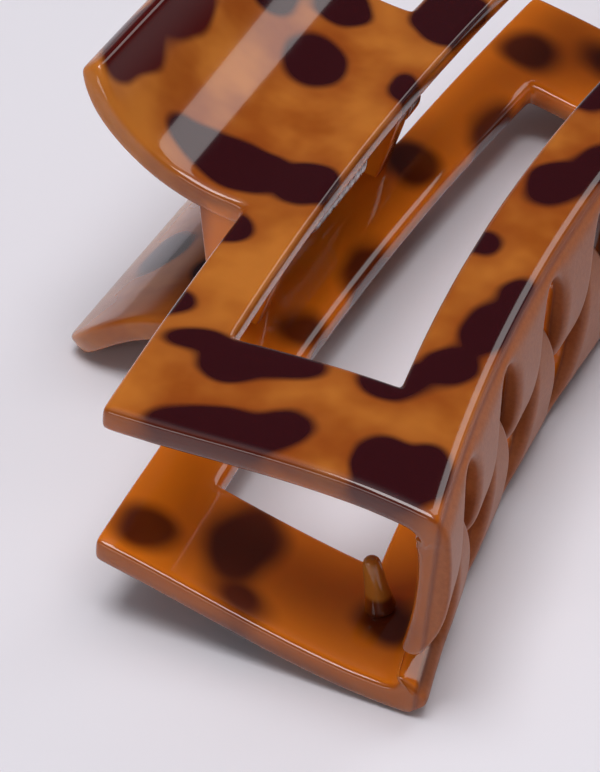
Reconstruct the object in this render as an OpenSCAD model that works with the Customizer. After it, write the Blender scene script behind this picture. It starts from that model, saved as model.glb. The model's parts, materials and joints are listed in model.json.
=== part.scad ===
// Claw clip for hair: two sprung jaws on one hinge pin, lying closed on its lower jaw.
// Jaw frame: origin on the hinge axis at mid-length, X towards the teeth, Y along the hinge,
// Z towards the outer face of the upper jaw. The lower jaw is the upper one mirrored in Z,
// with its teeth half a pitch along. The whole clip is then turned onto its resting points:
// the tip of the lower finger tab and the two toothed corners of the lower plate.

/* [Jaws] */
// length of each jaw along the hinge, mm
jaw_l = 90; // [60:1:120]
// depth of the plate at mid-length, from the hinge-side edge to the crease
plate_d = 25.8; // [18:0.2:36]
// wall of the plates and tabs
wall = 2.5; // [1.6:0.1:3.6]
// height of the outer face above the hinge axis at the hinge-side corner
back_h = 8.8; // [7:0.1:14]
// height of the outer face above the hinge axis at the crease
crease_h = 11.4; // [9:0.1:18]
// extra height of the crown between the two
crown = 0.95; // [0:0.05:2]
// bow in plan of the toothed edge over the length
tooth_bow = 5.84; // [1:0.1:9]
// bow in plan of the hinge-side edge over the length
back_bow = 2; // [0:0.1:4]
// radius of the plate's corners at the hinge side
corner_r = 2.6; // [1:0.1:6]
// rounding of the crease between plate and teeth
crease_r = 1.4; // [0.6:0.1:2.4]

/* [Window] */
// bar between the hinge-side edge and the window
back_bar = 6.1; // [2.5:0.1:8]
// bar between the window and the crease
tooth_bar = 5.9; // [4:0.1:12]
// bar across each end of the jaw
end_bar = 12.5; // [8:0.5:20]
// radius of the window's corners
window_r = 1.8; // [0.5:0.1:4]

/* [Teeth] */
// angle between neighbouring teeth of one jaw about the bow centre, degrees
tooth_step = 4; // [3:0.1:6]
// teeth of the lower jaw; the upper jaw has one more
lower_teeth = 7; // [3:2:11]
// width of a tooth at its root
tooth_w = 6.8; // [4:0.1:8]
// height of the slot tops above the hinge axis
root_h = 10.8; // [7:0.1:12]
// reach of the tooth tips past the hinge axis height
tip_reach = 4.6; // [2:0.1:7]
// bulge of the toothed wall beyond the crease
tooth_bulge = 2.3; // [0.5:0.1:4]
// thickness of the toothed wall
tooth_t = 2.9; // [2:0.1:4.5]
// length of the inner grip pegs
peg_l = 5; // [2:0.5:8]

/* [Finger tabs] */
// width of the tab
tab_w = 33.4; // [20:0.2:50]
// reach of the tab behind the hinge axis
tab_reach = 16.1; // [10:0.1:24]
// rise of the tab's tip above its root
tab_rise = 8.5; // [4:0.1:14]
// radius of the tip's corners
tab_r = 4.5; // [1:0.5:8]

/* [Hinge] */
// radius of the steel pin
pin_r = 1; // [0.8:0.05:1.5]
// radius of the hinge lugs about the pin
lug_r = 2.8; // [2:0.1:4]
// thickness of each lug
lug_t = 2.6; // [1.6:0.1:4]
// radial running clearance of the pin in the upper jaw's lugs
run_gap = 0.06; // [0.02:0.01:0.1]
// side clearance between an upper and a lower lug
side_gap = 0.3; // [0.1:0.05:0.6]
// length of pin standing out beyond each outer lug
pin_out = 0.6; // [0.2:0.1:1.5]

/* [Spring] */
// radius of the spring wire
wire_r = 0.5; // [0.3:0.05:0.8]
// mean radius of the coil
coil_r = 2.3; // [1.8:0.1:3]
// whole turns of the coil
coil_turns = 8; // [4:1:10]
// axial pitch of the coil
coil_pitch = 1.12; // [0.8:0.02:1.6]

/* [Hidden] */
half = jaw_l / 2;
back_x = 0.2;
crease_x = back_x + plate_d;
// bow centre: the toothed edge is an arc about the upright axis through [bow_x, 0]
bow_rad = (half * half + tooth_bow * tooth_bow) / (2 * tooth_bow);
bow_x = crease_x + bow_rad;
// profile position of the hinge-side corner at the ends of the jaw
end_x = bow_x - sqrt(pow(bow_x - back_x - back_bow, 2) + half * half);
tooth_x = crease_x + tooth_bulge;
inner_x = tooth_x - tooth_t;
tip_r = 1.2;
tip_thin = 0.9;
wall_top = 8.3;
press = 0.02;
// the lower teeth stand this angle off the exact half pitch, degrees
mesh_off = 0.04;

function lerp(a, b, t) = a + (b - a) * t;
// outer face height of the plate at profile position x
function prof(s) = back_h + (crease_h - back_h) * s + crown * 6.75 * s * s * (1 - s);
function outer_z(x) = prof((x - end_x) / (crease_x - end_x));
// outer and inner face of the toothed wall at height z
function bulge(z) = tooth_bulge * (1 - 0.3 * pow((z - 2.6) / 7, 2));
function in_x(z) = crease_x + bulge(z) - tooth_t;
function wall_x(z) = crease_x + bulge(z) - (z < 2.6 ? tip_thin * pow((2.6 - z) / 6, 2) : 0);
// tab centre line and its slope angle, s from 0 at the hinge to 1 at the tip
tab_z0 = outer_z(back_x) - wall / 2;
function tab_c(s) = [-s * tab_reach, tab_z0 + tab_rise * pow(s, 2.5)];
function tab_a(s) = atan(tab_rise * 2.5 * pow(s, 1.5) / tab_reach);
function tab_o(s, d) = tab_c(s) + d * [sin(tab_a(s)), cos(tab_a(s))];
// width of a tooth at fraction t from root to tip
function tooth_at(t) = tooth_w * (1 - 0.25 * t) * pow(1 - 0.9 * pow(t, 4), 0.6) * (1 - web(t))
    + slot_step * web(t);
function web(t) = t < 0.24 ? pow(1 - t / 0.24, 1.5) : 0;
function root_to_tip(t) = lerp(root_h, -tip_reach, t);

plate_xs = [for (i = [0:14]) lerp(end_x - 1.5, crease_x - crease_r, i / 14)];
crease_c = [crease_x - crease_r * 0.35, outer_z(crease_x - crease_r) - crease_r];
crease_pts = concat([for (a = [75:-15:30]) crease_c + crease_r * [cos(a), sin(a)]],
    [[lerp(crease_c[0] + crease_r, wall_x(wall_top), 0.72), wall_top + 1.2]]);
wall_zs = [for (i = [0:9]) lerp(wall_top, -tip_reach + tip_r, i / 9)];
tip_x = (wall_x(tip_r - tip_reach) + in_x(tip_r - tip_reach)) / 2;
tip_w = wall_x(tip_r - tip_reach) - tip_x;
tip_pts = [for (a = [-18:-24:-162]) [tip_x + tip_w * cos(a), tip_r - tip_reach + tip_r * sin(a)]];
jaw_pts = concat(
    [for (x = plate_xs) [x, outer_z(x)]],
    crease_pts,
    [for (z = wall_zs) [wall_x(z), z]],
    tip_pts,
    [for (i = [9:-1:0]) [in_x(wall_zs[i]), wall_zs[i]]],
    [for (a = [0:22.5:90]) [inner_x - 1.4 + 1.2 * cos(a), outer_z(inner_x) - wall - 1.2 + 1.2 * sin(a)]],
    [for (i = [14:-1:0]) [min(plate_xs[i], inner_x - 2), outer_z(min(plate_xs[i], inner_x - 2)) - wall]]
);

// resting turn: line under the tab tip and the plate's corners at the toothed edge
tab_tip = tab_o(1, wall / 2);
function bowed(p) = [bow_x - sqrt(pow(bow_x - p[0], 2) - half * half), p[1]];
corner_pts = [for (p = concat([for (x = plate_xs) [x, outer_z(x)]], crease_pts)) if (p[0] > 0) bowed(p)];
rest_a = atan(min([for (p = corner_pts) (tab_tip[1] - p[1]) / (p[0] - tab_tip[0])]));
rest_z = tab_tip[1] * cos(rest_a) + tab_tip[0] * sin(rest_a);
far_x = max([for (p = jaw_pts) bowed(p)[0] * cos(rest_a) + p[1] * sin(rest_a)]);
tail_x = min([for (d = [-1, 1]) tab_o(1, d * wall / 2)[0] * cos(rest_a)
    - tab_o(1, d * wall / 2)[1] * sin(rest_a)]);
mid_x = (far_x + tail_x) / 2;

// turns a jaw-frame shape onto the resting points
module resting() {
    translate([-mid_x, 0, rest_z]) rotate([0, rest_a, 0]) children();
}

// prism of the jaw's outline in plan, hinge-side edge bowed and corners rounded
module jaw_plan() {
    ys = [for (i = [-10:10]) i / 10 * (half - corner_r)];
    far = [for (a = [90:15:165]) [xb(half - corner_r) + corner_r, half - corner_r]
        + corner_r * [cos(a), sin(a)]];
    near = [for (a = [195:15:270]) [xb(half - corner_r) + corner_r, corner_r - half]
        + corner_r * [cos(a), sin(a)]];
    translate([0, 0, -30]) linear_extrude(60)
        polygon(concat([[60, half]], far, [for (i = [20:-1:0]) [xb(ys[i]), ys[i]]], near, [[60, -half]]));
}
function xb(y) = back_x + back_bow * pow(y / half, 2);

// prism of the window: both long edges follow the bow of the jaw
function win_a(y) = xb(y) + back_bar + 0.9 * pow(y / half, 2);
function win_b(y) = bow_x - sqrt(pow(bow_rad + tooth_bar, 2) - y * y);
module window() {
    wy = half - end_bar;
    ys = [for (i = [-10:10]) i / 10 * (wy - window_r)];
    ca = [win_a(wy) + window_r, wy - window_r];
    cb = [win_b(wy) - window_r, wy - window_r];
    translate([0, 0, -30]) linear_extrude(60) polygon(concat(
        [for (a = [180:-18:90]) ca + window_r * [cos(a), sin(a)]],
        [for (a = [90:-18:0]) cb + window_r * [cos(a), sin(a)]],
        [for (i = [20:-1:0]) [win_b(ys[i]), ys[i]]],
        [for (a = [0:-18:-90]) [cb[0], -cb[1]] + window_r * [cos(a), sin(a)]],
        [for (a = [270:-18:180]) [ca[0], -ca[1]] + window_r * [cos(a), sin(a)]],
        [for (i = [0:20]) [win_a(ys[i]), ys[i]]]));
}

// the gap between two teeth, centred at angle a about the bow centre
slot_step = 2 * (bow_x - tooth_x) * sin(tooth_step / 2);
module slot(a) {
    ts = [for (i = [0:24]) 1.012 * pow(i / 24, 1.6)];
    hw = [for (t = ts) (slot_step - tooth_at(t)) / 2];
    pts = concat(
        [for (i = [24:-1:0]) [-hw[i], root_to_tip(ts[i])]],
        [for (i = [1:24]) [hw[i], root_to_tip(ts[i])]],
        [[hw[24], -tip_reach - 1], [-hw[24], -tip_reach - 1]]);
    translate([bow_x, 0, 0]) rotate([0, 0, a]) translate([-bow_x, 0, 0])
        translate([inner_x - 1.2, 0, 0]) rotate([90, 0, 90]) linear_extrude(tooth_t + 4) polygon(pts);
}

// half slot that clears the other jaw's end tooth, open at the end of the jaw
module end_slot(side) {
    a = lower_teeth / 2 * tooth_step - (tooth_w / 2 + 0.7) / (bow_x - tooth_x) * 57.3;
    zt = wall_top + 0.55;
    pts = [for (q = [[0, -20], [0, zt - 1.2], [0.4, zt - 0.4], [1.2, zt], [20, zt], [20, -20]])
        [side * q[0], q[1]]];
    translate([bow_x, 0, 0]) rotate([0, 0, -side * a]) translate([-bow_x, 0, 0])
        translate([inner_x - 1.8, 0, 0]) rotate([90, 0, 90]) linear_extrude(tooth_t + 4) polygon(pts);
}

// flared finger tab, its tip corners rounded in plan and its root filleted into the plate
module tab() {
    ss = [for (i = [0:16]) i / 16];
    prof_pts = concat([[4, outer_z(4) - 0.3]], [for (s = ss) tab_o(s, wall / 2)],
        [for (i = [16:-1:0]) tab_o(ss[i], -wall / 2)], [[4, outer_z(4) - wall + 0.3]]);
    hw = tab_w / 2;
    tx = tab_o(1, -wall / 2)[0];
    f = 1.6;
    plan = concat([[4, hw + f], [xb(hw), hw + f]],
        [for (a = [15:15:90]) [xb(hw) - f + f * cos(a), hw + f - f * sin(a)]],
        [for (a = [90:15:180]) [tx + tab_r + tab_r * cos(a), hw - tab_r + tab_r * sin(a)]]);
    intersection() {
        translate([0, hw + 4, 0]) rotate([90, 0, 0]) linear_extrude(tab_w + 8) polygon(prof_pts);
        linear_extrude(40) polygon(concat(plan, [for (i = [len(plan) - 1:-1:0]) [plan[i][0], -plan[i][1]]]));
    }
}

// hinge lug reaching from the tab root to the pin, its inner face at y
module lug(y) {
    translate([0, y + lug_t, 0]) rotate([90, 0, 0]) linear_extrude(lug_t) union() {
        circle(lug_r, $fn = 64);
        polygon([[-lug_r - 1.4, tab_z0 + 0.2], [1, outer_z(1) - wall / 2],
            [lug_r * 0.97, lug_r * 0.25], [-lug_r, 0]]);
    }
}

// cone peg on the inner face near a corner of the jaw, leaning towards the hinge
module peg(side) {
    translate([crease_x - 0.6, side * (half - 8.1), outer_z(crease_x - 2) - wall + 0.3])
        rotate([180, 0, 0]) rotate([0, -15, 0]) rotate_extrude($fn = 32)
            polygon(concat([[0, 0], [1.3, 0], [0.82, peg_l - 0.6]],
                [for (a = [20:20:80]) [0.8 * cos(a), peg_l - 0.6 + 0.8 * sin(a)]], [[0, peg_l + 0.2]]));
}

// shallow flat in the end face of an end tooth
module end_flat(side) {
    shift = bow_x - tooth_x - sqrt(pow(bow_x - tooth_x, 2) - half * half);
    zs = [for (i = [0:6]) lerp(wall_top + 0.6, -tip_reach + 1.2, i / 6)];
    pts = concat([for (z = zs) [wall_x(z) + shift - 0.9, z]],
        [for (i = [6:-1:0]) [in_x(zs[i]) + shift + 0.45, zs[i]]]);
    translate([0, side > 0 ? half + 1 : -half + 0.2, 0]) rotate([90, 0, 0]) linear_extrude(1.2) polygon(pts);
}

// one moulded jaw without its bore; first is the angle of its first slot, n the slots
module jaw_body(first, n, lug_y) {
    difference() {
        union() {
            intersection() {
                translate([bow_x, 0, 0]) rotate([0, 0, 162]) rotate_extrude(angle = 36, $fn = 360)
                    polygon([for (p = jaw_pts) [bow_x - p[0], p[1]]]);
                jaw_plan();
            }
            tab();
            lug(lug_y);
            lug(-lug_y - lug_t);
            peg(1);
            peg(-1);
        }
        window();
        for (i = [0:n - 1]) slot(first + i * tooth_step);
    }
}

// bore along the hinge axis
module bore(r) {
    rotate([90, 0, 0]) cylinder(h = tab_w + 10, r = r, center = true, $fn = 96);
}

upper_lug_y = tab_w / 2 - 0.3 - lug_t;
lower_lug_y = upper_lug_y - side_gap - lug_t;

module upper_jaw() {
    color([0.66, 0.30, 0.08]) resting() difference() {
        jaw_body(-(lower_teeth - 1) / 2 * tooth_step, lower_teeth, upper_lug_y);
        bore(pin_r + run_gap);
        end_flat(1);
        end_flat(-1);
    }
}

module lower_jaw() {
    color([0.62, 0.27, 0.07]) resting() mirror([0, 0, 1]) difference() {
        jaw_body(-(lower_teeth / 2 - 1) * tooth_step + mesh_off, lower_teeth - 1, lower_lug_y);
        end_slot(1);
        end_slot(-1);
        bore(pin_r - press);
    }
}

module hinge_pin() {
    pl = tab_w / 2 - 0.3 + pin_out;
    color([0.75, 0.76, 0.78]) resting() rotate([90, 0, 0]) rotate_extrude($fn = 96)
        polygon([[0, -pl], [pin_r - 0.2, -pl], [pin_r, -pl + 0.2],
            [pin_r, pl - 0.2], [pin_r - 0.2, pl], [0, pl]]);
}

// spring wire: lower leg, coil about the pin, upper leg
leg_s = 0.42;
leg_end = tab_o(leg_s, -wall / 2 - wire_r - 0.05);
leg_len = norm(leg_end);
leg_a = atan2(leg_end[1], leg_end[0]);
turn_in = 360 - leg_a + acos(coil_r / leg_len);
turn_out = leg_a - acos(coil_r / leg_len) + 360 * (coil_turns + 1);
steps = 20 * coil_turns + 8;
coil_h = coil_pitch * (turn_out - turn_in) / 360;
path = concat(
    [[leg_end[0], -coil_h / 2, -leg_end[1]]],
    [for (i = [0:steps]) let (a = lerp(turn_in, turn_out, i / steps))
        [coil_r * cos(a), lerp(-coil_h / 2, coil_h / 2, i / steps), coil_r * sin(a)]],
    [[leg_end[0], coil_h / 2, leg_end[1]]]);
function unit(v) = v / norm(v);
function dir(i) = unit(path[min(i + 1, len(path) - 1)] - path[max(i - 1, 0)]);
module torsion_spring() {
    n = len(path);
    k = 8;
    pts = [for (i = [0:n - 1]) let (t = dir(i), u = unit([t[2], 0, -t[0]]), v = cross(t, u))
        for (j = [0:k - 1]) path[i] + wire_r * (cos(j * 360 / k) * u + sin(j * 360 / k) * v)];
    faces = concat([[for (j = [0:k - 1]) k - 1 - j]], [[for (j = [0:k - 1]) (n - 1) * k + j]],
        [for (i = [0:n - 2]) for (j = [0:k - 1])
            [i * k + j, i * k + (j + 1) % k, (i + 1) * k + (j + 1) % k, (i + 1) * k + j]]);
    color([0.70, 0.71, 0.74]) resting() polyhedron(points = pts, faces = faces, convexity = 10);
}

upper_jaw();
lower_jaw();
hinge_pin();
torsion_spring();
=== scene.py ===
import json
import math

import bmesh
import bpy
from bpy.props import FloatProperty, IntProperty, PointerProperty
from mathutils import Matrix, Vector


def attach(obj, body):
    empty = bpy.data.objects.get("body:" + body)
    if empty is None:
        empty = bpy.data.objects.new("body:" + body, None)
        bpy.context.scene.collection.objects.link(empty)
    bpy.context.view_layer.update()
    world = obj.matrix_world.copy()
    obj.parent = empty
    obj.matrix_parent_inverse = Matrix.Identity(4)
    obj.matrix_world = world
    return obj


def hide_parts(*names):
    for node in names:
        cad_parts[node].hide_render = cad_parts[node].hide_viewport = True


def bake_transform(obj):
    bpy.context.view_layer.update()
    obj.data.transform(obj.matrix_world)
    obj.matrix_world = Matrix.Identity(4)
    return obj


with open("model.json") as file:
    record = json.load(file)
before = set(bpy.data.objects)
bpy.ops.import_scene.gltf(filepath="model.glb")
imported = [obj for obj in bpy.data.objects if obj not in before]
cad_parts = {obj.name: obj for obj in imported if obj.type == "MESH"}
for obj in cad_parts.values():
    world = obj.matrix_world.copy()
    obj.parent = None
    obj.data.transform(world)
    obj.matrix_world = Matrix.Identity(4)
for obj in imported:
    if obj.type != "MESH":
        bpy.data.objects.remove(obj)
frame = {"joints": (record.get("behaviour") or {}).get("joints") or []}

bl_info = {
    "name": "Claw Clip",
    "version": (1, 0, 0),
    "blender": (4, 5, 0),
    "location": "View3D > Sidebar > Claw Clip",
    "description": "Builds a tortoiseshell hair claw clip around its packed frame",
    "category": "Object",
}

MM = 0.001


# ---------------------------------------------------------------- settings


class ClipSizes(bpy.types.PropertyGroup):
    """Real sizes of the jaws, in millimetres unless said otherwise"""

    jaw_l: FloatProperty(name="Jaw length", description="Length along the hinge, mm", default=90.0, min=60, max=120)
    plate_d: FloatProperty(name="Plate depth", description="Hinge-side edge to crease at mid-length, mm", default=25.8)
    wall: FloatProperty(name="Wall", description="Wall of plates and tabs, mm", default=2.5, min=1, max=4)
    back_h: FloatProperty(name="Back height", description="Outer face above the hinge at its edge, mm", default=8.8)
    crease_h: FloatProperty(name="Crease height", description="Outer face above the hinge at the crease, mm", default=11.4)
    crown: FloatProperty(name="Crown", description="Extra height of the plate between its edges, mm", default=0.95)
    tooth_bow: FloatProperty(name="Tooth bow", description="Bow in plan of the toothed edge, mm", default=5.84)
    back_bow: FloatProperty(name="Back bow", description="Bow in plan of the hinge-side edge, mm", default=2.0)
    crease_r: FloatProperty(name="Crease radius", description="Rounding from plate to teeth, mm", default=1.4)
    back_bar: FloatProperty(name="Back bar", description="Hinge-side edge to window, mm", default=6.1)
    tooth_bar: FloatProperty(name="Tooth bar", description="Window to crease, mm", default=5.9)
    end_bar: FloatProperty(name="End bar", description="Bar across each end, mm", default=12.5)
    tab_w: FloatProperty(name="Tab width", description="Width of the finger tab, mm", default=33.4)
    tab_reach: FloatProperty(name="Tab reach", description="Reach of the tab behind the hinge, mm", default=16.1)
    tab_rise: FloatProperty(name="Tab rise", description="Rise of the tab's tip, mm", default=8.5)
    tab_r: FloatProperty(name="Tab corner", description="Radius of the tab's corners, mm", default=4.5)
    rim_r: FloatProperty(name="Edge rounding", description="Rounding of the moulded edges, mm", default=0.62)


class ToothSizes(bpy.types.PropertyGroup):
    """Sizes of the teeth and of the grip pegs"""

    step: FloatProperty(name="Pitch angle", description="Angle between teeth about the bow centre, degrees", default=4.0)
    lower: IntProperty(name="Lower teeth", description="Teeth of the lower jaw; the upper has one more", default=7)
    width: FloatProperty(name="Width", description="Width of a tooth, mm", default=6.8)
    root_h: FloatProperty(name="Slot top", description="Height of the slot tops above the hinge, mm", default=10.8)
    reach: FloatProperty(name="Reach", description="Reach of the tips past the hinge height, mm", default=4.6)
    bulge: FloatProperty(name="Bulge", description="Bulge of the toothed wall past the crease, mm", default=2.3)
    thick: FloatProperty(name="Thickness", description="Thickness of the toothed wall, mm", default=2.9)
    peg: FloatProperty(name="Peg length", description="Length of the inner grip pegs, mm", default=5.0)


class WireSizes(bpy.types.PropertyGroup):
    """Sizes of the steel pin and the spring"""

    pin_r: FloatProperty(name="Pin radius", description="Radius of the pin, mm", default=1.0)
    pin_out: FloatProperty(name="Pin end", description="Pin standing out past the lugs, mm", default=0.6)
    wire_r: FloatProperty(name="Wire radius", description="Radius of the spring wire, mm", default=0.5)
    coil_r: FloatProperty(name="Coil radius", description="Mean radius of the coil, mm", default=2.3)
    turns: IntProperty(name="Turns", description="Whole turns of the coil", default=8)
    pitch: FloatProperty(name="Pitch", description="Axial pitch of the coil, mm", default=1.12)


class StageSettings(bpy.types.PropertyGroup):
    """Table, light and camera"""

    table: FloatProperty(name="Table size", description="Side of the table top", default=1.6, unit="LENGTH")
    sky: FloatProperty(name="Ambient", description="Strength of the even studio light", default=0.75)
    lens: FloatProperty(name="Lens", description="Focal length on a 36 mm wide sensor, mm", default=221.87)


# ---------------------------------------------------------------- shape of the clip


class Plan:
    """The clip's formulas. Jaw frame in mm: X to the teeth, Y along the hinge, Z to the upper plate."""

    def __init__(self, scene):
        c, t = scene.claw_clip, scene.claw_clip_teeth
        self.c, self.t = c, t
        self.half = c.jaw_l / 2
        self.back_x = 0.2
        self.crease_x = self.back_x + c.plate_d
        self.bow_r = (self.half**2 + c.tooth_bow**2) / (2 * c.tooth_bow)
        self.bow_x = self.crease_x + self.bow_r
        self.end_x = self.bow_x - math.hypot(self.bow_x - self.back_x - c.back_bow, self.half)
        self.tooth_x = self.crease_x + t.bulge
        self.step = 2 * (self.bow_x - self.tooth_x) * math.sin(math.radians(t.step / 2))
        self.tip_z = -t.reach
        self.wall_top = 8.3
        self.tab_z0 = self.outer_z(self.back_x) - c.wall / 2
        # resting turn, under the tab's tip and the plate's corners at the toothed edge
        tx, tz = self.tab(1, c.wall / 2)
        n = 15
        first, last = self.end_x - 1.5, self.crease_x - c.crease_r
        xs = [first + (last - first) * i / (n - 1) for i in range(n)]
        under = [(x, self.outer_z(x)) for x in xs if x > 0]
        crease = (self.crease_x - 0.35 * c.crease_r, self.outer_z(last) - c.crease_r)
        for turn in (75, 60, 45, 30):
            a = math.radians(turn)
            under.append((crease[0] + c.crease_r * math.cos(a), crease[1] + c.crease_r * math.sin(a)))
        under.append((lerp(crease[0] + c.crease_r, self.wall_out(self.wall_top), 0.72), self.wall_top + 1.2))
        self.rest_a = math.atan(min((tz - z) / (self.bowed(x, self.half) - tx) for x, z in under))
        rest_z = tz * math.cos(self.rest_a) + tx * math.sin(self.rest_a)
        joint = frame["joints"][0]["pos_m"]
        if abs(joint[2] / MM - rest_z) > 0.05:
            raise ValueError("the hinge of the frame is not where these sizes put it")
        self.to_row = (
            Matrix.Translation(Vector(joint)) @ Matrix.Rotation(self.rest_a, 4, "Y") @ Matrix.Scale(MM, 4)
        )

    def outer_z(self, x):
        s = (x - self.end_x) / (self.crease_x - self.end_x)
        return self.c.back_h + (self.c.crease_h - self.c.back_h) * s + self.c.crown * 6.75 * s * s * (1 - s)

    def xb(self, y):
        return self.back_x + self.c.back_bow * (y / self.half) ** 2

    def bowed(self, x, y):
        return self.bow_x - math.sqrt((self.bow_x - x) ** 2 - y * y)

    def radial(self, x, y):
        return self.bow_x - math.hypot(self.bow_x - x, y)

    def win_a(self, y):
        return self.xb(y) + self.c.back_bar + 0.9 * (y / self.half) ** 2

    def win_b(self, y):
        return self.bow_x - math.sqrt((self.bow_r + self.c.tooth_bar) ** 2 - y * y)

    def bulge(self, z):
        return self.t.bulge * (1 - 0.3 * ((z - 2.6) / 7) ** 2)

    def wall_in(self, z):
        return self.crease_x + self.bulge(z) - self.t.thick

    def wall_out(self, z):
        return self.crease_x + self.bulge(z) - (0.9 * ((2.6 - z) / 6) ** 2 if z < 2.6 else 0)

    def tooth_w(self, z):
        t = min(1.0, max(0.0, (self.t.root_h - z) / (self.t.root_h + self.t.reach)))
        web = (1 - t / 0.24) ** 1.5 if t < 0.24 else 0.0
        width = self.t.width * (1 - 0.25 * t) * (1 - 0.9 * t**4) ** 0.6
        return max(width, 1.7) * (1 - web) + self.step * web

    def gap(self, z):
        return (self.step - self.tooth_w(z)) / 2

    def tab(self, s, d):
        a = math.atan(self.c.tab_rise * 2.5 * s**1.5 / self.c.tab_reach)
        x, z = -s * self.c.tab_reach, self.tab_z0 + self.c.tab_rise * s**2.5
        return x + d * math.sin(a), z + d * math.cos(a)

    def slot_y(self, k):
        return (self.bow_x - self.tooth_x) * math.sin(math.radians(k * self.t.step))


def lerp(a, b, f):
    return a + (b - a) * f


def smooth(f):
    return f * f * (3 - 2 * f)


def jaw_rows(p):
    """Stations from the tab's tip over the plate and the crease to the tooth tips, as (kind, value)."""
    rows = [("tab", s) for s in (1.0, 0.94, 0.86, 0.75, 0.62, 0.5, 0.38, 0.25, 0.12)]
    rows += [("back", 0.0), ("back", 0.3), ("back", 0.72)]
    rows += [("window", f) for f in (0.0, 0.12, 0.37, 0.63, 0.88, 1.0)]
    rows += [("front", 0.28), ("front", 0.75), ("front", 1.0)]
    rows += [("crease", a) for a in (66.0, 41.0, 17.0)]
    rows += [("wall", z) for z in (9.9, 8.6, 6.8, 4.6, 2.3, 0.1, -1.6, -2.9, -3.85, -4.6)]
    return rows


def station(p, row, y):
    """Outer and inner point (x, z) of a station at y."""
    c, (kind, v) = p.c, row
    if kind == "tab":
        return p.tab(v, c.wall / 2), p.tab(v, -c.wall / 2)
    if kind == "crease":
        a = math.radians(v)
        oc = (p.crease_x - 0.35 * c.crease_r, p.outer_z(p.crease_x - c.crease_r) - c.crease_r)
        ix = p.crease_x + p.t.bulge - p.t.thick
        ic = (ix - 1.4, p.outer_z(ix) - c.wall - 1.2)
        o = (oc[0] + c.crease_r * math.cos(a), oc[1] + c.crease_r * math.sin(a))
        i = (ic[0] + 1.2 * math.cos(a), ic[1] + 1.2 * math.sin(a))
        return (p.bowed(o[0], y), o[1]), (p.bowed(i[0], y), i[1])
    if kind == "wall":
        o, i = p.wall_out(v), p.wall_in(v)
        low = v if v <= 6.6 else lerp(6.6, 7.75, (v - 6.6) / 3.3)  # the inner crease ends lower than the outer one
        return (p.bowed(o, y), v), (p.bowed(i, y), low)
    edges = {
        "back": (p.xb(y), p.win_a(y)),
        "window": (p.win_a(y), p.win_b(y)),
        "front": (p.win_b(y), p.bowed(p.crease_x - c.crease_r * 1.1, y)),
    }[kind]
    x = lerp(edges[0], edges[1], v)
    z = p.outer_z(p.radial(x, y))
    if kind == "back" and v == 0.0 and abs(y) < c.tab_w / 2:
        o, i = p.tab(0, c.wall / 2), p.tab(0, -c.wall / 2)
        return (x, o[1]), (x, i[1])
    return (x, z), (x - (0.55 * v if kind == "front" else 0), z - c.wall)


def jaw_columns(p, upper):
    """Columns along the jaw: (plate y, function of height giving the y in the toothed wall, tag)."""
    n = (p.t.lower - 1) / 2 if upper else (p.t.lower - 2) / 2
    ks = [-n + i for i in range(int(2 * n) + 1)]
    hw, wy = p.c.tab_w / 2, p.half - p.c.end_bar
    cols = []

    def right(k):
        return lambda z: p.slot_y(k) + p.gap(z)

    def left(k):
        return lambda z: p.slot_y(k) - p.gap(z)

    if upper:
        end = lambda z: p.half
    else:
        end = lambda z: min(p.slot_y(n + 0.5) + p.tooth_w(z) / 2, 38.0) if z < 8.7 else 38.0

    def span(a, b, fs):
        for f in fs:
            cols.append([lerp(a(9.3), b(9.3), f), lambda z, f=f: lerp(a(z), b(z), f), "tooth"])

    for i, k in enumerate(ks):
        if i:
            span(right(ks[i - 1]), left(k), (0.2, 0.5, 0.8))
        cols.append([left(k)(9.3), left(k), "L"])
        cols.append([right(k)(9.3), right(k), "R"])
    span(right(ks[-1]), end, (0.3, 0.62) if upper else (0.25, 0.7))
    if upper:
        cols.append([p.half - 1.6, lambda z: p.half - 0.9, "tooth"])
    else:
        cols.append([38.3, end, "end"])
        cols.append([39.5, lambda z: 39.3, "beyond"])
        cols.append([p.half - 2.2, lambda z: p.half - 2.2, "beyond"])
    cols.append([p.half, lambda z: p.half, "rim"])
    # mirror the far half onto the near one
    far = [c for c in cols if c[0] > 0.01]
    tag = {"L": "R", "R": "L"}
    near = [[-c[0], lambda z, f=c[1]: -f(z), tag.get(c[2], c[2])] for c in reversed(far)]
    mid = [[0.0, lambda z: 0.0, "tooth"]] if not upper else []
    cols = near + mid + far
    # pull the nearest columns onto the tab's sides and the window's ends
    for y in (hw, hw - 1.5, wy, wy - 1.5):
        for sign in (-1, 1):
            free = [c for c in cols if c[2] != "rim" and len(c) == 3]
            best = min(free, key=lambda c: abs(c[0] - sign * y))
            best[0] = sign * y
            best.append("pulled")
    ys = [c[0] for c in cols]
    if ys != sorted(ys):
        raise ValueError("the columns of the jaw cross each other")
    return cols


def tab_side(p, s):
    """Half width of the tab at s, its tip corners rounded and its root flared into the plate."""
    hw, r = p.c.tab_w / 2, p.c.tab_r
    x = p.tab(s, 0)[0] - p.tab(1, -p.c.wall / 2)[0]
    if x < r:
        return hw - r + math.sqrt(max(0.0, r * r - (r - x) ** 2))
    return hw + 1.3 * max(0.0, 1 - s / 0.13) ** 2


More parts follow.
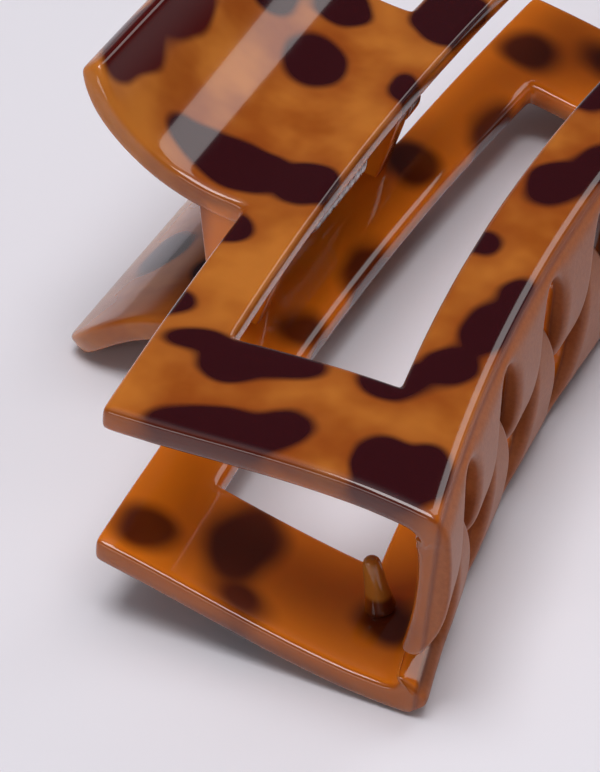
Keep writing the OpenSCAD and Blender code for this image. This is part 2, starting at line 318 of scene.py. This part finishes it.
def jaw_sheet(p, upper):
    """The whole moulding as a closed shell: grid, holes cut, extruded to the wall, edges bevelled."""
    rows, cols = jaw_rows(p), jaw_columns(p, upper)
    nr, nc = len(rows), len(cols)
    hw, wy = p.c.tab_w / 2, p.half - p.c.end_bar
    bm = bmesh.new()
    bmesh.ops.create_grid(bm, x_segments=nc - 1, y_segments=nr - 1, size=1.0)
    row_of, col_of = bm.verts.layers.int.new("row"), bm.verts.layers.int.new("col")
    kinds = [r[0] for r in rows]
    apex = kinds.index("wall")

    def y_at(j, i):
        yp, fn = cols[i][0], cols[i][1]
        kind, v = rows[j]
        if kind == "tab":
            return yp * tab_side(p, v) / hw
        if kind == "crease":
            f = {66.0: 0.35, 41.0: 0.85, 17.0: 1.0}[v]
            z = station(p, rows[j], 0.0)[0][1]
            return lerp(yp, fn(min(z, 10.35)), f)
        return fn(v) if kind == "wall" else yp

    for v in bm.verts:
        i = round((v.co.x + 1) / 2 * (nc - 1))
        j = round((v.co.y + 1) / 2 * (nr - 1))
        v[row_of], v[col_of] = j, i
    for v in bm.verts:
        y = y_at(v[row_of], v[col_of])
        (x, z), _ = station(p, rows[v[row_of]], y)
        v.co = Vector((x, y, z))

    def gone(face):
        js, cs = [v[row_of] for v in face.verts], [v[col_of] for v in face.verts]
        j, c = min(js), min(cs)
        y0, y1 = cols[c][0], cols[c + 1][0]
        if kinds[j] == "tab":
            return y0 < -hw - 0.01 or y1 > hw + 0.01
        if kinds[j] == "window" and kinds[j + 1] == "window":
            return y0 > -wy - 0.01 and y1 < wy + 0.01
        if j >= apex and cols[c][2] == "L" and cols[c + 1][2] == "R":
            return True
        if not upper and kinds[j] == "wall" and rows[j][1] < 8.9:
            return "beyond" in (cols[c][2], cols[c + 1][2])
        return False

    bmesh.ops.delete(bm, geom=[f for f in bm.faces if gone(f)], context="FACES")
    done = bmesh.ops.extrude_face_region(bm, geom=bm.faces[:])
    inner = {g for g in done["geom"] if isinstance(g, bmesh.types.BMVert)}
    for v in inner:
        y = y_at(v[row_of], v[col_of])
        _, (x, z) = station(p, rows[v[row_of]], y)
        v.co = Vector((x, y, z))
    bmesh.ops.recalc_face_normals(bm, faces=bm.faces[:])
    if upper:  # the flat, slightly sunk end faces of the end teeth
        for side in (0, nc - 1):
            rim = [
                f
                for f in bm.faces
                if all(v[col_of] == side and kinds[v[row_of]] == "wall" and v[row_of] <= nr - 3 for v in f.verts)
            ]
            bmesh.ops.inset_region(bm, faces=rim, thickness=0.62, depth=-0.16, use_even_offset=True)
    sharp = [e for e in bm.edges if len(e.link_faces) == 2 and e.calc_face_angle() > 0.85]
    bmesh.ops.bevel(
        bm,
        geom=sharp,
        offset=p.c.rim_r,
        offset_type="OFFSET",
        segments=2,
        profile=0.5,
        affect="EDGES",
        clamp_overlap=False,
        material=-1,
    )
    return bm


def add_lug(bm, p, y, thick):
    """A hinge lug: a round eye about the pin with an arm up to the tab's root."""
    r = 2.8
    pts = [(r * math.cos(a), r * math.sin(a)) for a in (math.radians(180 + 12.5 * i) for i in range(15))]
    pts += [(r * 0.97, r * 0.3), (1.0, p.outer_z(1) - 1.25), (-r - 1.4, p.tab_z0 + 0.2)]
    verts = [bm.verts.new((x, y, z)) for x, z in pts]
    face = bm.faces.new(verts)
    done = bmesh.ops.extrude_face_region(bm, geom=[face])
    moved = [g for g in done["geom"] if isinstance(g, bmesh.types.BMVert)]
    bmesh.ops.translate(bm, verts=moved, vec=(0, thick, 0))
    faces = {f for v in verts + moved for f in v.link_faces}
    bmesh.ops.recalc_face_normals(bm, faces=list(faces))
    rim = {e for f in faces for e in f.edges if e.calc_face_angle(0) > 1.2}
    bmesh.ops.bevel(
        bm, geom=list(rim), offset=0.3, segments=2, profile=0.5, affect="EDGES", clamp_overlap=True, material=-1
    )


def add_peg(bm, p, side):
    """A cone peg with a round tip, on the inner face near a corner and leaning to the hinge."""
    length = p.t.peg + 0.7
    base = Vector((p.crease_x - 0.6, side * (p.half - 8.1), p.outer_z(p.crease_x - 2) - p.c.wall + 0.3))
    turn = Matrix.Translation(base) @ Matrix.Rotation(math.pi, 4, "X") @ Matrix.Rotation(math.radians(-15), 4, "Y")
    profile = [(0, 0), (1.5, 0), (1.42, 0.5), (1.15, 1.6), (0.95, 3.2), (0.85, length - 0.75), (0.62, length - 0.2), (0, length)]
    points = [bm.verts.new((r, 0, z)) for r, z in profile]
    edges = [bm.edges.new(pair) for pair in zip(points, points[1:])]
    done = bmesh.ops.spin(
        bm, geom=points + edges, cent=(0, 0, 0), axis=(0, 0, 1), angle=2 * math.pi, steps=16, use_merge=True
    )
    ring = {g for g in points + done["geom_last"] if isinstance(g, bmesh.types.BMVert)}
    grown, count = set(ring), 0
    while count != len(grown):
        count = len(grown)
        grown |= {e.other_vert(v) for v in grown for e in v.link_edges}
    bmesh.ops.remove_doubles(bm, verts=list(grown), dist=1e-4)
    grown = {v for v in grown if v.is_valid}
    faces = {f for v in grown for f in v.link_faces}
    bmesh.ops.recalc_face_normals(bm, faces=list(faces))
    bmesh.ops.transform(bm, matrix=turn, verts=list(grown))


def finish_mesh(bm, name, material, levels):
    mesh = bpy.data.meshes.new(name)
    bm.normal_update()
    bm.to_mesh(mesh)
    bm.free()
    mesh.polygons.foreach_set("use_smooth", [True] * len(mesh.polygons))
    mesh.materials.append(material)
    obj = bpy.data.objects.new(name, mesh)
    bpy.context.scene.collection.objects.link(obj)
    if levels:
        sub = obj.modifiers.new("Rounded", "SUBSURF")
        sub.levels = sub.render_levels = levels
    return obj


# ---------------------------------------------------------------- materials


class Nodes:
    """Short hands for one node tree."""

    def __init__(self, tree):
        self.tree = tree

    def put(self, socket, value):
        if isinstance(value, bpy.types.NodeSocket):
            self.tree.links.new(value, socket)
        elif value is not None:
            socket.default_value = value

    def math(self, op, a, b=None, c=None, clamp=False):
        n = self.tree.nodes.new("ShaderNodeMath")
        n.operation, n.use_clamp = op, clamp
        for s, v in zip(n.inputs, (a, b, c)):
            self.put(s, v)
        return n.outputs[0]

    def vec(self, op, a, b=None, out=0):
        n = self.tree.nodes.new("ShaderNodeVectorMath")
        n.operation = op
        for s, v in zip(n.inputs, (a, b)):
            self.put(s, v)
        return n.outputs[out]

    def ramp(self, x, lo, hi, to_lo=0.0, to_hi=1.0):
        n = self.tree.nodes.new("ShaderNodeMapRange")
        n.interpolation_type = "SMOOTHSTEP"
        for s, v in zip(n.inputs, (x, lo, hi, to_lo, to_hi)):
            self.put(s, v)
        return n.outputs[0]

    def mix(self, f, a, b):
        n = self.tree.nodes.new("ShaderNodeMix")
        n.data_type = "RGBA"
        self.put(n.inputs[0], f)
        self.put(n.inputs[6], a)
        self.put(n.inputs[7], b)
        return n.outputs[2]

    def noise(self, vector, scale, detail=2.0, rough=0.5, color=False):
        n = self.tree.nodes.new("ShaderNodeTexNoise")
        self.put(n.inputs["Vector"], vector)
        n.inputs["Scale"].default_value = scale
        n.inputs["Detail"].default_value = detail
        n.inputs["Roughness"].default_value = rough
        return n.outputs["Color" if color else "Fac"]


# dark patches of the upper jaw, in mm in the jaw frame: centre x, y, half axes, turn in degrees
UPPER_PATCHES = [
    (12.2, -43.4, 5.6, 2.2, 14), (16.6, -41.4, 2.2, 1.5, 30), (9.0, -45.0, 2.8, 1.6, 0),
    (9.6, -35.0, 3.2, 2.4, 20), (14.0, -34.4, 2.6, 1.3, 10), (5.5, -34.2, 2.6, 1.2, 10),
    (25.6, -41.6, 2.6, 3.2, 30), (28.6, -41.6, 2.4, 3.4, 0), (27.2, -44.6, 2.6, 1.8, 0),
    (22.6, -32.4, 2.4, 1.6, 20), (25.2, -28.6, 1.9, 2.7, -15), (26.0, -22.2, 1.6, 3.6, -6), (26.7, -17.4, 1.3, 2.2, 0),
    (21.2, -12.8, 0.9, 1.3, 0), (23.4, -2.4, 2.0, 3.2, -25), (25.6, 2.6, 1.3, 2.8, -10), (20.6, 10.5, 1.8, 2.2, 15),
    (24.6, 15.0, 2.2, 3.0, -20), (22.6, 27.0, 2.4, 2.6, 30), (26.4, 34.0, 2.4, 3.4, 0), (14.0, 41.0, 4.6, 2.6, -12),
    (8.4, 36.6, 2.6, 2.0, 30), (4.6, 26.0, 3.0, 2.8, 10), (4.4, 16.6, 3.0, 3.6, 20), (5.4, 5.2, 1.3, 1.6, 0),
    (-2.0, -12.2, 4.4, 3.4, 10), (-6.0, -12.0, 2.5, 2.2, 0), (4.0, -11.8, 2.6, 2.2, 0), (1.2, -19.6, 1.6, 1.6, 0),
    (0.8, -30.5, 1.6, 1.3, 0), (-3.6, 4.4, 2.4, 3.2, 20), (-4.5, 13.0, 3.0, 2.6, -30), (-10.6, 9.4, 2.6, 3.4, 10),
]
LOWER_PATCHES = [
    (4.9, -40.8, 2.5, 2.2, 0), (12.7, -37.4, 2.9, 5.2, 14), (15.4, -43.4, 2.6, 1.5, 0), (26.5, -38.0, 2.2, 2.0, 0),
    (6.3, -0.4, 2.0, 3.2, 0), (2.8, 15.2, 2.4, 2.8, 0), (4.6, -11.4, 1.6, 2.2, 0), (7.2, 25.1, 2.0, 3.0, 0),
    (5.4, 37.0, 3.0, 2.2, 0), (22.0, -20.0, 2.0, 3.0, 0), (23.4, 2.0, 2.2, 3.4, 20), (22.6, 22.0, 2.4, 3.0, -20),
    (14.6, 40.6, 4.4, 2.2, 0), (25.0, 36.0, 2.4, 2.6, 0), (-4.2, -8.4, 3.4, 2.8, 20), (-9.4, 5.6, 3.0, 3.4, 0),
    (-3.6, 10.4, 2.0, 2.4, 0), (-12.6, -4.6, 1.8, 2.6, 0), (3.8, -24.4, 1.8, 2.4, 0),
]
PATCH_GROW = 0.45  # added to every half axis, mm
TIP_PATCHES = [(-14.4, -9.6, 2.0, 4.2, 0), (-13.6, -1.6, 1.6, 4.0, 0), (-13.4, 11.0, 1.6, 2.6, 0)]


def patch_group(name, patches):
    """Node group: distance into the dark patches, from plan coordinates in mm, edges waved by noise."""
    g = bpy.data.node_groups.new(name, "ShaderNodeTree")
    g.interface.new_socket("Plan", in_out="INPUT", socket_type="NodeSocketVector")
    g.interface.new_socket("Depth", in_out="OUTPUT", socket_type="NodeSocketFloat")
    n = Nodes(g)
    start, end = g.nodes.new("NodeGroupInput"), g.nodes.new("NodeGroupOutput")
    plan = start.outputs[0]
    wave = n.vec("SUBTRACT", n.noise(plan, 0.14, 1.0, 0.4, True), (0.5, 0.5, 0.5))
    scaled = g.nodes.new("ShaderNodeVectorMath")
    scaled.operation = "SCALE"
    n.put(scaled.inputs[0], wave)
    scaled.inputs["Scale"].default_value = 3.0
    p = n.vec("MULTIPLY", n.vec("ADD", plan, scaled.outputs[0]), (1.0, 1.0, 0.0))
    total = None
    for x, y, a, b, turn in patches:
        m = g.nodes.new("ShaderNodeMapping")
        m.vector_type = "TEXTURE"
        n.put(m.inputs["Vector"], p)
        m.inputs["Location"].default_value = (x, y, 0)
        m.inputs["Rotation"].default_value = (0, 0, math.radians(turn))
        a, b = a + PATCH_GROW, b + PATCH_GROW
        m.inputs["Scale"].default_value = (a, b, 1)
        d = n.vec("LENGTH", m.outputs[0], out=1)
        depth = n.math("MULTIPLY", n.math("SUBTRACT", 1.0, d), min(a, b))
        total = depth if total is None else n.math("SMOOTH_MAX", total, depth, 1.6)
    n.put(end.inputs[0], total)
    return g


def tortoise_material(name, p, upper):
    mat = bpy.data.materials.new(name)
    mat.use_nodes = True
    tree = mat.node_tree
    n = Nodes(tree)
    bsdf = tree.nodes["Principled BSDF"]
    coord = tree.nodes.new("ShaderNodeTexCoord")
    # row frame to jaw frame, in mm
    back = p.to_row.inverted()
    move = tree.nodes.new("ShaderNodeMapping")
    move.vector_type = "POINT"
    loc, rot, scale = back.decompose()
    move.inputs["Location"].default_value = loc
    move.inputs["Rotation"].default_value = rot.to_euler()
    move.inputs["Scale"].default_value = scale
    n.put(move.inputs["Vector"], coord.outputs["Object"])
    plan = move.outputs[0]
    split = tree.nodes.new("ShaderNodeSeparateXYZ")
    n.put(split.inputs[0], plan)
    x, z = split.outputs[0], split.outputs[2]
    up = n.math("MULTIPLY", z, 1.0 if upper else -1.0)
    flat = n.vec("MULTIPLY", plan, (1, 1, 0))
    from_bow = n.vec("DISTANCE", flat, (p.bow_x, 0, 0), out=1)
    reach = n.math("SUBTRACT", p.bow_x, from_bow)  # profile position, the crease is at crease_x
    # plain moulded teeth begin at a line just past the crease
    teeth = n.ramp(reach, p.crease_x + 0.55, p.crease_x + 0.8)
    line = n.math("MULTIPLY", n.ramp(reach, p.crease_x + 0.3, p.crease_x + 0.6), n.ramp(reach, p.crease_x + 1.05, p.crease_x + 0.75))
    # patches fade from the outer face inwards
    group = tree.nodes.new("ShaderNodeGroup")
    group.node_tree = patch_group(name + "_patches", UPPER_PATCHES if upper else LOWER_PATCHES)
    n.put(group.inputs[0], plan)
    depth = group.outputs[0]
    outer = n.ramp(
        n.math("SUBTRACT", up, n.math("MULTIPLY_ADD", x, 0.09, 8.0)), -0.6, 0.9
    )  # 0 on inner faces, 1 on the outer face of the plate
    tab = n.ramp(x, -2.0, -4.0)
    outer = n.math("MAXIMUM", outer, tab)
    edge = n.math("MULTIPLY_ADD", outer, -0.62, 1.0)
    dark = n.ramp(depth, n.math("MULTIPLY", edge, -1.1), n.math("MULTIPLY", edge, 1.1))
    halo = n.ramp(depth, -2.4, 0.5)
    cloud = n.noise(plan, 0.11, 3.0, 0.55)
    fine = n.noise(plan, 0.9, 4.0, 0.6)
    amber = n.mix(n.ramp(cloud, 0.34, 0.66), (0.27, 0.062, 0.006, 1), (0.47, 0.155, 0.022, 1))
    amber = n.mix(n.math("MULTIPLY", fine, 0.25), amber, (0.40, 0.11, 0.012, 1))
    amber = n.mix(n.math("MULTIPLY", halo, 0.45), amber, (0.20, 0.030, 0.004, 1))
    amber = n.mix(outer, (0.70, 0.18, 0.010, 1), amber)  # painted light: the inner faces get a brighter amber standing in for light coming through the plastic
    # painted light: the dark patches on the inner faces are painted lighter too, for the same light through the
    # plastic
    spot = n.mix(outer, (0.105, 0.018, 0.005, 1), (0.030, 0.0025, 0.0042, 1))
    skin = n.mix(dark, amber, spot)
    if upper:
        tip = tree.nodes.new("ShaderNodeGroup")
        tip.node_tree = patch_group(name + "_tip", TIP_PATCHES)
        n.put(tip.inputs[0], plan)
        skin = n.mix(n.ramp(tip.outputs[0], -0.35, 0.35), skin, (0.060, 0.003, 0.002, 1))
    # the end faces are a darker red-brown
    ends = n.ramp(n.math("ABSOLUTE", split.outputs[1]), p.half - 0.7, p.half - 0.2)
    skin = n.mix(n.math("MULTIPLY", ends, 0.6), skin, (0.10, 0.016, 0.005, 1))
    peg = n.math("MULTIPLY", n.ramp(up, 7.9, 7.3), n.ramp(reach, p.crease_x - 1.2, p.crease_x - 1.6))
    skin = n.mix(n.math("MULTIPLY", peg, n.ramp(x, 18.0, 20.0)), skin, (0.42, 0.15, 0.022, 1))
    grain = n.noise(plan, 2.4, 5.0, 0.65)
    satin = n.mix(n.ramp(grain, 0.3, 0.7), (0.28, 0.074, 0.017, 1), (0.34, 0.098, 0.026, 1))
    low = n.ramp(up, 2.0, -5.0)
    satin = n.mix(n.math("MULTIPLY", low, 0.35), satin, (0.30, 0.10, 0.03, 1))
    color = n.mix(teeth, skin, satin)
    color = n.mix(n.math("MULTIPLY", line, 0.55), color, (0.14, 0.03, 0.012, 1))
    n.put(bsdf.inputs["Base Color"], color)
    rough = n.math("MULTIPLY_ADD", teeth, 0.36, 0.07)
    n.put(bsdf.inputs["Roughness"], n.math("MULTIPLY_ADD", fine, 0.03, rough))
    bsdf.inputs["IOR"].default_value = 1.49
    bsdf.inputs["Specular IOR Level"].default_value = 0.35
    n.put(bsdf.inputs["Coat Weight"], n.math("MULTIPLY_ADD", teeth, -0.38, 0.4))
    bsdf.inputs["Coat Roughness"].default_value = 0.03
    bsdf.inputs["Subsurface Weight"].default_value = 0.12
    bsdf.inputs["Subsurface Radius"].default_value = (1.0, 0.35, 0.1)
    bsdf.inputs["Subsurface Scale"].default_value = 0.0025
    bump = tree.nodes.new("ShaderNodeBump")
    bump.inputs["Distance"].default_value = 0.0004
    bump.inputs["Strength"].default_value = 0.06
    n.put(bump.inputs["Height"], n.math("MULTIPLY", grain, teeth))
    n.put(bsdf.inputs["Normal"], bump.outputs[0])
    return mat


def steel_material(name, scale, tint):
    """Drawn steel wire: fine lines and slight tarnish."""
    mat = bpy.data.materials.new(name)
    mat.use_nodes = True
    tree = mat.node_tree
    n = Nodes(tree)
    bsdf = tree.nodes["Principled BSDF"]
    coord = tree.nodes.new("ShaderNodeTexCoord")
    stretched = n.vec("MULTIPLY", coord.outputs["Object"], scale)
    streak = n.noise(stretched, 1.0, 4.0, 0.6)
    tarnish = n.noise(coord.outputs["Object"], 260.0, 3.0, 0.6)
    color = n.mix(n.ramp(tarnish, 0.35, 0.75), tint, tuple(0.72 * v for v in tint[:3]) + (1,))
    n.put(bsdf.inputs["Base Color"], color)
    n.put(bsdf.inputs["Roughness"], n.math("MULTIPLY_ADD", streak, 0.16, 0.2))
    bsdf.inputs["Metallic"].default_value = 1.0
    bump = tree.nodes.new("ShaderNodeBump")
    bump.inputs["Distance"].default_value = 0.00003
    bump.inputs["Strength"].default_value = 0.2
    n.put(bump.inputs["Height"], streak)
    n.put(bsdf.inputs["Normal"], bump.outputs[0])
    return mat


# ---------------------------------------------------------------- operators


def build_jaw(context, upper):
    p = Plan(context.scene)
    node = "upper_jaw" if upper else "lower_jaw"
    bm = jaw_sheet(p, upper)
    upper_y = p.c.tab_w / 2 - 0.3 - 2.6
    y = upper_y if upper else upper_y - 0.3 - 2.6
    add_lug(bm, p, y, 2.6)
    add_lug(bm, p, -y - 2.6, 2.6)
    add_peg(bm, p, 1)
    add_peg(bm, p, -1)
    if not upper:
        bmesh.ops.scale(bm, vec=(1, 1, -1), verts=bm.verts[:])
        bmesh.ops.reverse_faces(bm, faces=bm.faces[:])
    bmesh.ops.transform(bm, matrix=p.to_row, verts=bm.verts[:])
    obj = finish_mesh(bm, node + "_moulding", tortoise_material(node + "_tortoiseshell", p, upper), 2)
    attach(obj, node)
    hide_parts(node)
    return obj


class CLAWCLIP_OT_jaws(bpy.types.Operator):
    """Builds both moulded jaws with their windows, tabs, teeth, lugs and pegs"""

    bl_idname = "clawclip.jaws"
    bl_label = "Jaws"

    def execute(self, context):
        build_jaw(context, True)
        build_jaw(context, False)
        return {"FINISHED"}


class CLAWCLIP_OT_pin(bpy.types.Operator):
    """Builds the steel hinge pin with rounded ends"""

    bl_idname = "clawclip.pin"
    bl_label = "Hinge Pin"

    def execute(self, context):
        p, w = Plan(context.scene), context.scene.claw_clip_wire
        half = p.c.tab_w / 2 - 0.3 + w.pin_out
        bm = bmesh.new()
        bmesh.ops.create_cone(
            bm,
            cap_ends=True,
            segments=48,
            radius1=w.pin_r,
            radius2=w.pin_r,
            depth=2 * half,
            matrix=Matrix.Rotation(math.pi / 2, 4, "X"),
        )
        rim = [e for e in bm.edges if e.calc_face_angle(0) > 1.2]
        bmesh.ops.bevel(
            bm, geom=rim, offset=0.22, segments=4, profile=0.5, affect="EDGES", clamp_overlap=True, material=-1
        )
        bmesh.ops.transform(bm, matrix=p.to_row, verts=bm.verts[:])
        obj = finish_mesh(bm, "hinge_pin_rod", steel_material("pin_steel", (3000, 60, 3000), (0.62, 0.61, 0.59, 1)), 0)
        obj.data.set_sharp_from_angle(angle=math.radians(50))
        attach(obj, "lower_jaw")
        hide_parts("hinge_pin")
        return {"FINISHED"}


class CLAWCLIP_OT_spring(bpy.types.Operator):
    """Winds the torsion spring about the pin, with one leg on each finger tab"""

    bl_idname = "clawclip.spring"
    bl_label = "Torsion Spring"

    def execute(self, context):
        p, w = Plan(context.scene), context.scene.claw_clip_wire
        lx, lz = p.tab(0.42, -p.c.wall / 2 - w.wire_r - 0.05)
        leg = math.hypot(lx, lz)
        leg_a = math.atan2(lz, lx)
        a_in = 2 * math.pi - leg_a + math.acos(w.coil_r / leg)
        a_out = leg_a - math.acos(w.coil_r / leg) + 2 * math.pi * (w.turns + 1)
        steps = 40 * w.turns
        h = w.pitch * (a_out - a_in) / (2 * math.pi)
        path = [(lx, -h / 2, -lz)]
        for i in range(steps + 1):
            a = lerp(a_in, a_out, i / steps)
            path.append((w.coil_r * math.cos(a), lerp(-h / 2, h / 2, i / steps), w.coil_r * math.sin(a)))
        path.append((lx, h / 2, lz))
        pts = [Vector(q) for q in path]
        # straight legs get their own rings
        pts = [pts[0].lerp(pts[1], f / 8) for f in range(8)] + pts[1:-1] + [pts[-2].lerp(pts[-1], f / 8) for f in range(1, 9)]
        curve = bpy.data.curves.new("spring_path", "CURVE")
        curve.dimensions = "3D"
        spline = curve.splines.new("POLY")
        spline.points.add(len(pts) - 1)
        for s, q in zip(spline.points, pts):
            s.co = (*(p.to_row @ q), 1)
        curve.bevel_depth = w.wire_r * MM
        curve.bevel_resolution = 4
        curve.use_fill_caps = True
        tube = bpy.data.objects.new("spring_path", curve)
        context.scene.collection.objects.link(tube)
        context.view_layer.update()
        mesh = bpy.data.meshes.new_from_object(tube.evaluated_get(context.evaluated_depsgraph_get()))
        bpy.data.objects.remove(tube)
        bm = bmesh.new()
        bm.from_mesh(mesh)
        bmesh.ops.remove_doubles(bm, verts=bm.verts[:], dist=1e-6)
        bmesh.ops.recalc_face_normals(bm, faces=bm.faces[:])
        obj = finish_mesh(bm, "torsion_spring_wire", steel_material("spring_steel", (900, 900, 900), (0.50, 0.50, 0.51, 1)), 0)
        obj.data.set_sharp_from_angle(angle=math.radians(50))
        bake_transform(obj)
        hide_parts("torsion_spring")
        return {"FINISHED"}


class CLAWCLIP_OT_stage(bpy.types.Operator):
    """Sets the table, the soft studio light and the camera"""

    bl_idname = "clawclip.stage"
    bl_label = "Stage"

    def execute(self, context):
        scene = context.scene
        p, st = Plan(scene), scene.claw_clip_stage
        bm = bmesh.new()
        bmesh.ops.create_grid(bm, x_segments=2, y_segments=2, size=st.table / 2)
        mat = bpy.data.materials.new("table_top")
        mat.use_nodes = True
        n = Nodes(mat.node_tree)
        bsdf = mat.node_tree.nodes["Principled BSDF"]
        coord = mat.node_tree.nodes.new("ShaderNodeTexCoord")
        tone = n.noise(coord.outputs["Object"], 9.0, 2.0)
        n.put(bsdf.inputs["Base Color"], n.mix(tone, (0.70, 0.69, 0.74, 1), (0.78, 0.77, 0.81, 1)))
        n.put(bsdf.inputs["Roughness"], n.math("MULTIPLY_ADD", tone, 0.1, 0.42))
        floor = finish_mesh(bm, "table_top", mat, 0)

        def soft_light(name, place, aim, size, power, tint):
            data = bpy.data.lights.new(name, "AREA")
            data.shape, data.size, data.size_y = "RECTANGLE", size[0], size[1]
            data.energy, data.color = power, tint
            light = bpy.data.objects.new(name, data)
            scene.collection.objects.link(light)
            place, aim = Vector(place), Vector(aim)
            turn = (aim - place).to_track_quat("-Z", "Y")
            light.matrix_world = Matrix.Translation(place) @ turn.to_matrix().to_4x4()

        soft_light("top_light", (0.05, -0.10, 1.0), (0, 0, 0.01), (0.6, 0.5), 7.6, (1.0, 0.98, 0.99))
        soft_light("window_light", (0.26, 0.61, 0.60), (0, 0, 0.01), (0.26, 0.5), 0.95, (1.0, 0.99, 1.0))
        soft_light("near_light", (-0.25, -0.75, 0.30), (0, 0, 0.01), (0.5, 0.2), 1.0, (0.98, 0.98, 1.0))

        world = bpy.data.worlds.new("studio")
        scene.world = world
        world.use_nodes = True
        w = Nodes(world.node_tree)
        bg = world.node_tree.nodes["Background"]
        sky = world.node_tree.nodes.new("ShaderNodeTexCoord").outputs["Generated"]
        height = world.node_tree.nodes.new("ShaderNodeSeparateXYZ")
        w.put(height.inputs[0], sky)
        # pale wall at the horizon, dim where the plates look, bright overhead
        wall = w.mix(w.ramp(height.outputs[2], 0.14, 0.36), (0.50, 0.49, 0.52, 1), (0.075, 0.068, 0.075, 1))
        w.put(bg.inputs["Color"], w.mix(w.ramp(height.outputs[2], 0.72, 0.98), wall, (0.93, 0.92, 0.97, 1)))
        bg.inputs["Strength"].default_value = st.sky

        cam = bpy.data.cameras.new("camera")
        cam.sensor_fit, cam.sensor_width, cam.lens = "HORIZONTAL", 36.0, st.lens
        cam.clip_start, cam.clip_end = 0.01, 10.0
        eye = bpy.data.objects.new("camera", cam)
        scene.collection.objects.link(eye)
        turn = p.to_row.to_quaternion().to_matrix()
        look = turn @ Vector((-0.28890, 0.67728, -0.67663)).normalized()
        right = turn @ Vector((0.88858, 0.45275, 0.07378)).normalized()
        above = right.cross(look).normalized()
        right = look.cross(above).normalized()
        place = p.to_row @ Vector((102.37, -239.244, 213.739))
        axes = Matrix((right, above, -look)).transposed()
        eye.matrix_world = Matrix.Translation(place) @ axes.to_4x4()
        scene.camera = eye
        scene.view_settings.view_transform = "Standard"
        return {"FINISHED"}


class CLAWCLIP_PT_panel(bpy.types.Panel):
    """Sizes of the clip, and its build steps"""

    bl_label = "Claw Clip"
    bl_idname = "CLAWCLIP_PT_panel"
    bl_space_type = "VIEW_3D"
    bl_region_type = "UI"
    bl_category = "Claw Clip"

    def draw(self, context):
        layout = self.layout
        for title, group in (
            ("Jaws", context.scene.claw_clip),
            ("Teeth", context.scene.claw_clip_teeth),
            ("Wire", context.scene.claw_clip_wire),
            ("Stage", context.scene.claw_clip_stage),
        ):
            box = layout.box()
            box.label(text=title)
            for name in group.bl_rna.properties.keys():
                if name not in ("rna_type", "name"):
                    box.prop(group, name)
        for op in STEPS:
            layout.operator(op.bl_idname)


STEPS = (CLAWCLIP_OT_jaws, CLAWCLIP_OT_pin, CLAWCLIP_OT_spring, CLAWCLIP_OT_stage)
CLASSES = (ClipSizes, ToothSizes, WireSizes, StageSettings) + STEPS + (CLAWCLIP_PT_panel,)


def register():
    for cls in CLASSES:
        bpy.utils.register_class(cls)
    bpy.types.Scene.claw_clip = PointerProperty(type=ClipSizes)
    bpy.types.Scene.claw_clip_teeth = PointerProperty(type=ToothSizes)
    bpy.types.Scene.claw_clip_wire = PointerProperty(type=WireSizes)
    bpy.types.Scene.claw_clip_stage = PointerProperty(type=StageSettings)


def unregister():
    for name in ("claw_clip", "claw_clip_teeth", "claw_clip_wire", "claw_clip_stage"):
        delattr(bpy.types.Scene, name)
    for cls in reversed(CLASSES):
        bpy.utils.unregister_class(cls)


def main():
    register()
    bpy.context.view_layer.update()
    bpy.ops.clawclip.jaws()
    bpy.ops.clawclip.pin()
    bpy.ops.clawclip.spring()
    bpy.ops.clawclip.stage()


if __name__ == "__main__":
    main()
